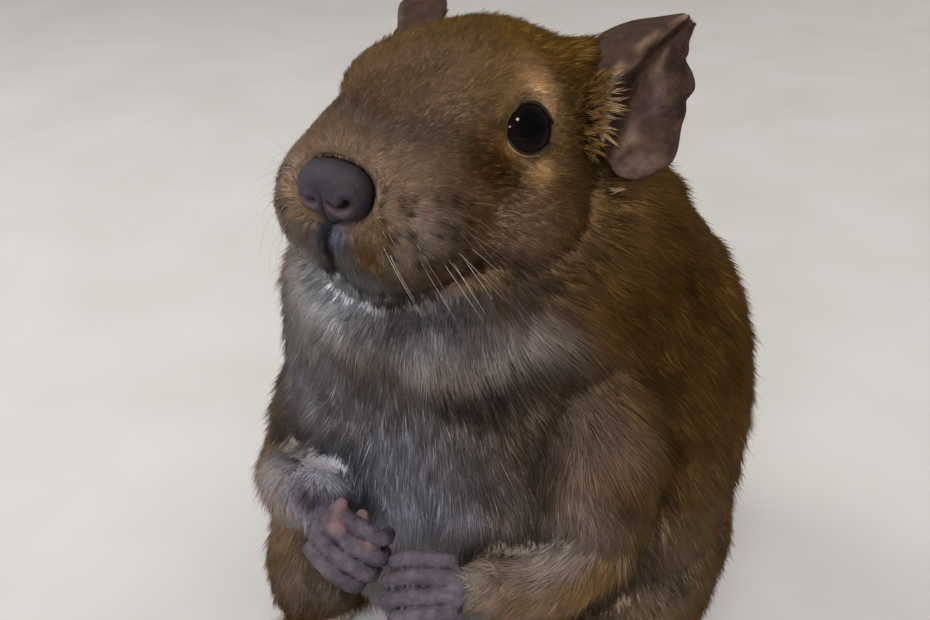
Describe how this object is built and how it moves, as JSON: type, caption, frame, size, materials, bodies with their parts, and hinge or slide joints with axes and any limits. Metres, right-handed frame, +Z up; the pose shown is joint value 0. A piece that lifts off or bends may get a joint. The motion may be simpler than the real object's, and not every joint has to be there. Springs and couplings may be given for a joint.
{
  "type": "degu",
  "caption": "Still life-size degu, a small brown rodent, sitting up with its forepaws held together at its belly, its head turned slightly and its tufted tail lying behind it.",
  "frame": {"origin": "on the floor, on the flat under the rump", "axes": "+Z up, the animal faces -Y and its left side is +X; the tail runs back along +Y"},
  "size_m": [0.1204, 0.1612, 0.1187],
  "materials": {
    "fur_head": "brown agouti fur",
    "fur_throat": "grey fur with paler tips",
    "fur_back": "dark brown agouti fur",
    "fur_limb": "greyish brown fur",
    "fur_foot": "short pale fur with bare toes",
    "skin_paw": "bare grey skin, fine creases",
    "skin_ear": "thin bare dark skin",
    "skin_nose": "bare skin, slightly moist",
    "eye": "wet black, very glossy",
    "hair_brush": "stiff black hair"
  },
  "bodies": {
    "root": {"head": "fur_head", "neck": "fur_throat", "torso": "fur_back", "thigh_left": "fur_back", "thigh_right": "fur_back", "tail_1": "fur_back", "tail_2": "fur_back", "tail_3": "fur_back", "upper_arm_left": "fur_limb", "upper_arm_right": "fur_limb", "forearm_left": "fur_limb", "forearm_right": "fur_limb", "hind_foot_left": "fur_foot", "hind_foot_right": "fur_foot", "forepaw_left": "skin_paw", "forepaw_right": "skin_paw", "ear_left": "skin_ear", "ear_right": "skin_ear", "nose": "skin_nose", "eye_left": "eye", "eye_right": "eye", "tail_brush": "hair_brush"}
  },
  "joints": []
}
